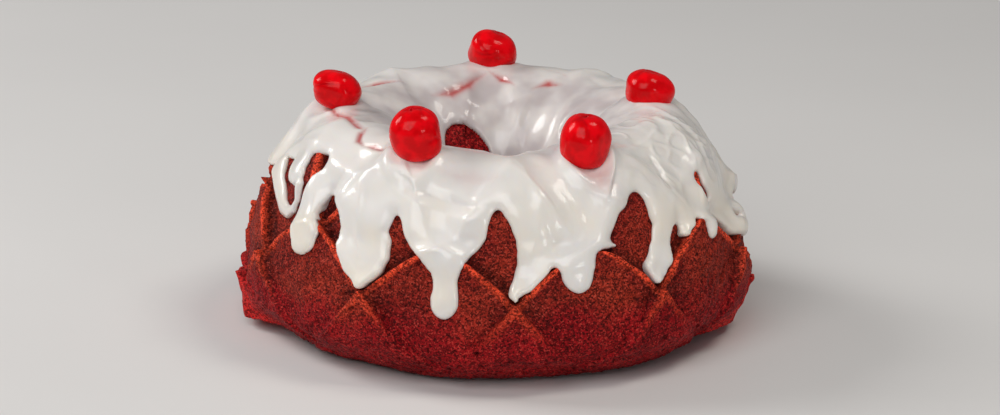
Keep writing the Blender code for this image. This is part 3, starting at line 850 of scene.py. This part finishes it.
def cherry(index):
    """One glace cherry with its stalk's dimple, lobes and fine wrinkles."""
    name, width, height, lean, towards, fullness, _ = CHERRIES[index]
    turn, tilt = np.meshgrid(np.arange(CHERRY_SEGMENTS) * math.tau / CHERRY_SEGMENTS,
                             np.linspace(math.pi, 0.0, CHERRY_RINGS))
    way = np.stack([np.sin(tilt) * np.cos(turn), np.sin(tilt) * np.sin(turn), np.cos(tilt)], axis=-1)
    lower = smooth_step(0.15, -0.5, way[..., 2])
    lobes = CHERRY_LOBES * np.sin(3 * turn + index) * np.sin(tilt) ** 2
    wrinkle = wrinkles(way, 50 + index)
    dimple = np.exp(-((tilt / DIMPLE_WIDTH) ** 2)) * (1 + 0.25 * np.sin(5 * turn))
    shape = 1 + lobes + CHERRY_UNEVEN * ripple(way, 1.5, 40 + index)
    shape = shape - WRINKLE_DEPTH * np.minimum(wrinkle, 1.3) - DIMPLE_DEPTH * dimple
    across = width / 2 * shape * np.sin(tilt) ** (1 - fullness * lower)
    up = height / 2 * shape * way[..., 2] * (1 + CHERRY_DEEP * lower)
    points = np.stack([across * np.cos(turn), across * np.sin(turn), up], axis=-1)
    swing = Matrix.Rotation(math.radians(towards), 3, "Z") @ Matrix.Rotation(math.radians(lean), 3, "Y")
    points = points.reshape(-1, 3) @ np.array(swing).T + middle_of(name)
    faces = split_along(np.zeros((len(points), 1)), grid_faces(CHERRY_SEGMENTS, CHERRY_RINGS))
    fruit = mesh_object("glace_" + name, points, faces,
                        {"wrinkle": np.clip(wrinkle, 0, 1), "dimple": np.clip(dimple, 0, 1)})
    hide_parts(name)
    return fruit


# ---- Materials

PANEL = ((0.172, 0.0090, 0.0055), (0.250, 0.0195, 0.0085))
BELT = ((0.195, 0.0023, 0.0045), (0.265, 0.0050, 0.0070))
# Orange-red of the ribs' rims, made bright as a painted highlight
RIB_RIM_RED_AND_HIGHLIGHT = (0.660, 0.056, 0.020)
LIP = (0.480, 0.014, 0.013)
# Pale crumb flecks, which also serve as painted glints on the moist crust
FLECK_AND_GLINT = (0.600, 0.110, 0.072)
PORE = (0.035, 0.002, 0.002)
WHITE = (0.800, 0.772, 0.742)
CREAM = (0.835, 0.775, 0.685)
# Grey of thin icing, also used as painted shade over the crest and inside
THIN_AND_SHADED_ICING = (0.500, 0.440, 0.442)
RIB_UNDER_ICING = (0.500, 0.070, 0.065)
CHERRY_RED = ((0.620, 0.0006, 0.0030), (0.860, 0.0012, 0.0060))
# Darker reds in the wrinkles and in the stalk's dimple: painted shade in these creases
WRINKLE_SHADE_RED = (0.360, 0.001, 0.005)
DIMPLE_SHADE_RED = (0.300, 0.001, 0.004)
FLOOR = ((0.70, 0.69, 0.68), (0.78, 0.77, 0.76))
ROOM = (0.80, 0.82, 0.85, 1.0)


class Finish:
    """A Principled material that is built up node by node."""

    def __init__(self, name):
        self.material = bpy.data.materials.new(name)
        self.material.use_nodes = True
        self.tree = self.material.node_tree
        self.shader = self.tree.nodes["Principled BSDF"]
        self.place = self.node("ShaderNodeTexCoord").outputs["Object"]

    def node(self, kind, **settings):
        """A new node with its properties set."""
        made = self.tree.nodes.new(kind)
        for label, value in settings.items():
            setattr(made, label, value)
        return made

    def feed(self, socket, value):
        """Link a socket to another, or set it."""
        if isinstance(value, bpy.types.NodeSocket):
            self.tree.links.new(value, socket)
        else:
            socket.default_value = value

    def set(self, **values):
        """Set the shader's sockets, named with underscores."""
        for label, value in values.items():
            self.feed(self.shader.inputs[label.replace("_", " ")], value)

    def attribute(self, label):
        """A value that the mesh carries."""
        return self.node("ShaderNodeAttribute", attribute_name=label).outputs["Fac"]

    def height(self):
        """Height over the object's origin in metres."""
        parts = self.node("ShaderNodeSeparateXYZ")
        self.feed(parts.inputs[0], self.place)
        return parts.outputs[2]

    def noise(self, size, detail=3.0, roughness=0.5):
        """Noise from 0 to 1 with features of about a size in mm."""
        made = self.node("ShaderNodeTexNoise")
        self.feed(made.inputs["Vector"], self.place)
        self.feed(made.inputs["Scale"], 1 / (size * MM))
        self.feed(made.inputs["Detail"], detail)
        self.feed(made.inputs["Roughness"], roughness)
        return made.outputs["Fac"]

    def cells(self, size, output="Distance"):
        """Scattered cells of about a size in mm, with the distance from their middles."""
        made = self.node("ShaderNodeTexVoronoi")
        self.feed(made.inputs["Vector"], self.place)
        self.feed(made.inputs["Scale"], 1 / (size * MM))
        return made.outputs[output]

    def random_cells(self, size):
        """A random value from 0 to 1 for each of the cells."""
        parts = self.node("ShaderNodeSeparateColor")
        self.feed(parts.inputs[0], self.cells(size, "Color"))
        return parts.outputs[0]

    def times(self, a, b):
        """Two values multiplied."""
        return self.maths("MULTIPLY", a, b)

    def tint(self, colour, share):
        """A colour made darker or lighter by a share."""
        grey = self.node("ShaderNodeCombineColor")
        for channel in range(3):
            self.feed(grey.inputs[channel], share)
        return self.mix(1.0, colour, grey.outputs[0], "MULTIPLY")

    def span(self, value, low, high, to_low=0.0, to_high=1.0):
        """A value from one range smoothly brought to another."""
        made = self.node("ShaderNodeMapRange", interpolation_type="SMOOTHSTEP")
        for label, number in (("Value", value), ("From Min", low), ("From Max", high),
                              ("To Min", to_low), ("To Max", to_high)):
            self.feed(made.inputs[label], number)
        return made.outputs["Result"]

    def maths(self, operation, a, b=0.0):
        """One maths step."""
        made = self.node("ShaderNodeMath", operation=operation)
        self.feed(made.inputs[0], a)
        self.feed(made.inputs[1], b)
        return made.outputs[0]

    def mix(self, share, a, b, blend="MIX"):
        """Two colours mixed."""
        made = self.node("ShaderNodeMix", data_type="RGBA", blend_type=blend)
        self.feed(made.inputs["Factor"], share)
        for socket, colour in ((made.inputs[6], a), (made.inputs[7], b)):
            self.feed(socket, (*colour, 1.0) if isinstance(colour, tuple) else colour)
        return made.outputs[2]

    def bump(self, height, depth, normal=None):
        """A bump of about a depth in mm from a height between 0 and 1."""
        made = self.node("ShaderNodeBump")
        self.feed(made.inputs["Height"], height)
        self.feed(made.inputs["Distance"], depth * MM)
        if normal is not None:
            self.feed(made.inputs["Normal"], normal)
        return made.outputs["Normal"]


def sponge_finish():
    """Browned panels with fine crumb, orange-red rib rims with a painted highlight, painted shade behind the
    ribs, pale crumb flecks that are partly painted glints, and a moister red belt.
    """
    finish = Finish("red_sponge")
    blotch = finish.noise(26.0, 3.0)
    grain = finish.noise(0.45, 2.0, 0.6)
    crumb = finish.random_cells(0.7)
    coarse = finish.random_cells(2.1)
    pores = finish.span(finish.cells(2.1), 0.10, 0.32, 1.0, 0.0)
    pores = finish.times(pores, finish.span(coarse, 0.50, 0.62))
    # Pale crumb flecks, partly painted glints
    flecks_and_glints = finish.times(finish.span(crumb, 0.80, 0.92), finish.span(grain, 0.40, 0.62))
    panel = finish.mix(finish.span(blotch, 0.35, 0.65), *PANEL)
    belt = finish.mix(finish.span(blotch, 0.40, 0.62), *BELT)
    colour = finish.mix(finish.attribute("belt"), panel, belt)
    # The ribs' rims: their orange-red colour, brightened as a painted highlight where they catch the light
    rim_red_and_highlight = finish.attribute("rib")
    rim_red_and_highlight = finish.times(rim_red_and_highlight, finish.span(finish.noise(7.0, 3.0), 0.25, 0.60, 0.50, 1.0))
    colour = finish.mix(rim_red_and_highlight, colour, RIB_RIM_RED_AND_HIGHLIGHT)
    colour = finish.mix(finish.attribute("lip"), colour, LIP)
    mottle = finish.maths("ADD", finish.times(crumb, 0.45), finish.times(grain, 0.55))
    colour = finish.tint(colour, finish.span(mottle, 0.25, 0.75, 0.26, 1.92))
    # Painted shade on the drops behind the ribs and at their feet
    colour = finish.tint(colour, finish.span(finish.attribute("hollow_shade"), 0.0, 1.0, 1.0, 0.45))
    # Flecks of pale crumb and painted glints
    colour = finish.mix(finish.times(flecks_and_glints, 0.48), colour, FLECK_AND_GLINT)
    colour = finish.mix(finish.times(pores, 0.70), colour, PORE)
    colour = finish.mix(finish.times(finish.attribute("pit"), 0.7), colour, PORE)
    rough = finish.bump(grain, 0.35)
    rough = finish.bump(finish.maths("SUBTRACT", 1.0, pores), 0.5, rough)
    finish.set(Base_Color=colour, Roughness=finish.span(grain, 0.3, 0.7, 0.80, 0.50), Normal=rough,
               Specular_IOR_Level=0.12)
    return finish.material


def icing_finish():
    """Thick glossy white that is creamy in places, greyer where it is thin, greyed with painted shade over
    the crest and inside, and red where it is thin over a rib.
    """
    finish = Finish("white_icing")
    top = finish.span(finish.height(), 0.068, 0.092, 1.0, 0.3)
    cream = finish.times(finish.span(finish.noise(30.0, 2.0), 0.35, 0.65), top)
    colour = finish.mix(cream, WHITE, CREAM)
    # Greyer where thin, and painted shade over the crest and inside
    veil_shade_and_thin = finish.attribute("veil_shade_and_thin")
    veil_shade_and_thin = finish.times(veil_shade_and_thin, finish.span(finish.noise(16.0, 2.0), 0.30, 0.65, 0.35, 1.0))
    colour = finish.mix(veil_shade_and_thin, colour, THIN_AND_SHADED_ICING)
    patchy = finish.span(finish.noise(5.0, 2.0), 0.25, 0.50, 0.60, 1.0)
    showing = finish.times(finish.attribute("showing"), patchy)
    colour = finish.mix(showing, colour, RIB_UNDER_ICING)
    wavy = finish.bump(finish.noise(7.0, 1.0), 0.06)
    rough = finish.span(finish.noise(12.0), 0.3, 0.7, 0.30, 0.44)
    finish.set(Base_Color=colour, Roughness=rough, Normal=wavy, Subsurface_Weight=0.35,
               Subsurface_Radius=(1.0, 0.75, 0.55), Subsurface_Scale=0.0018, Coat_Weight=0.45,
               Coat_Roughness=0.05, IOR=1.46)
    return finish.material


def cherry_finish():
    """Candied cherry skin: deep, clear red under a syrup gloss, with painted shade in its wrinkles and the
    stalk's dimple.
    """
    finish = Finish("glace_cherry")
    depth = finish.span(finish.noise(6.0, 2.0), 0.35, 0.65)
    colour = finish.mix(depth, *CHERRY_RED)
    # Painted shade in the wrinkles and in the stalk's dimple
    colour = finish.mix(finish.times(finish.attribute("wrinkle"), 0.5), colour, WRINKLE_SHADE_RED)
    colour = finish.mix(finish.times(finish.attribute("dimple"), 0.5), colour, DIMPLE_SHADE_RED)
    skin = finish.bump(finish.noise(1.8, 2.0), 0.10)
    rough = finish.span(finish.noise(3.0), 0.3, 0.7, 0.12, 0.24)
    finish.set(Base_Color=colour, Roughness=rough, Normal=skin, Subsurface_Weight=0.15,
               Subsurface_Radius=(1.0, 0.10, 0.06), Subsurface_Scale=0.003, Specular_IOR_Level=0.05,
               Coat_Weight=0.18, Coat_Roughness=0.02)
    return finish.material


def floor_finish():
    """A pale matt tabletop."""
    finish = Finish("pale_floor")
    finish.set(Base_Color=finish.mix(finish.noise(300.0, 3.0), *FLOOR), Roughness=0.55)
    return finish.material


# ---- The studio, in metres

LIGHTS = (  # name, place, size, power, colour
    ("window", (-1.3, 0.5, 1.1), 0.7, 14.5, (1.0, 0.98, 0.96)),
    ("front", (-0.7, -1.6, 1.5), 1.6, 25.0, (1.0, 1.0, 1.0)),
    ("overhead", (0.9, -0.2, 1.7), 0.6, 9.0, (1.0, 0.94, 0.86)),
    ("doorway", (1.0, -1.75, 0.40), 0.35, 3.0, (1.0, 1.0, 1.0)),
)
LIT_POINT = (0.0, 0.0, 0.05)
FLOOR_RADIUS = 6.0
FLOOR_GAP = 0.0002  # under the cake
ROOM_STRENGTH = 0.16
DISTANCE = 2.2
SEEN_POINT = (0.0, 0.0, 0.045)
SEEN_SHIFT = (0.0015, 0.0080)  # from there, to the right and up


def floor():
    """A large round table top under the cake."""
    bpy.ops.mesh.primitive_circle_add(vertices=128, radius=FLOOR_RADIUS, fill_type="NGON",
                                      location=(0.0, 0.0, -FLOOR_GAP))
    top = bpy.context.object
    top.name = "table_top"
    top.data.materials.append(floor_finish())


def soft_light(name, place, size, power, colour):
    """A square lamp that faces the cake."""
    lamp = bpy.data.lights.new(name, "AREA")
    lamp.size = size
    lamp.energy = power
    lamp.color = colour
    made = bpy.data.objects.new(name, lamp)
    made.location = place
    made.rotation_euler = (Vector(LIT_POINT) - Vector(place)).to_track_quat("-Z", "Y").to_euler()
    bpy.context.scene.collection.objects.link(made)


def studio():
    """Soft light from the back left and above, a wide and a low one in front, and a pale room."""
    for light in LIGHTS:
        soft_light(*light)
    world = bpy.data.worlds.new("pale_room")
    world.use_nodes = True
    background = world.node_tree.nodes["Background"]
    background.inputs["Color"].default_value = ROOM
    background.inputs["Strength"].default_value = ROOM_STRENGTH
    bpy.context.scene.world = world
    bpy.context.scene.view_settings.view_transform = "Standard"


def camera():
    """A long lens a little to the left, 17 degrees above."""
    height_angle = math.radians(16.9)
    side_angle = math.radians(-4.3)
    roll = math.radians(0.7)
    away = Vector((math.sin(side_angle) * math.cos(height_angle),
                   -math.cos(side_angle) * math.cos(height_angle), math.sin(height_angle)))
    right = Vector((math.cos(side_angle), math.sin(side_angle), 0.0))
    above = away.cross(right)
    x = right * math.cos(roll) + above * math.sin(roll)
    y = above * math.cos(roll) - right * math.sin(roll)
    target = Vector(SEEN_POINT) + x * SEEN_SHIFT[0] + y * SEEN_SHIFT[1]
    data = bpy.data.cameras.new("camera")
    data.lens = 169.6
    data.sensor_width = 36.0
    made = bpy.data.objects.new("camera", data)
    turned = Matrix((x, y, away)).transposed().to_4x4()
    made.matrix_world = Matrix.Translation(target + away * DISTANCE) @ turned
    bpy.context.scene.collection.objects.link(made)
    bpy.context.scene.camera = made


def main():
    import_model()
    camera()
    studio()
    floor()
    pieces = [(sponge(), "sponge", sponge_finish()), (icing(), "icing", icing_finish())]
    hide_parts("cake")
    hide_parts("icing")
    skin = cherry_finish()
    pieces += [(cherry(index), "cherry", skin) for index in range(len(CHERRIES))]
    for piece, slot, finish in pieces:
        piece.data.materials.append(finish)
        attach(piece, "root")


main()
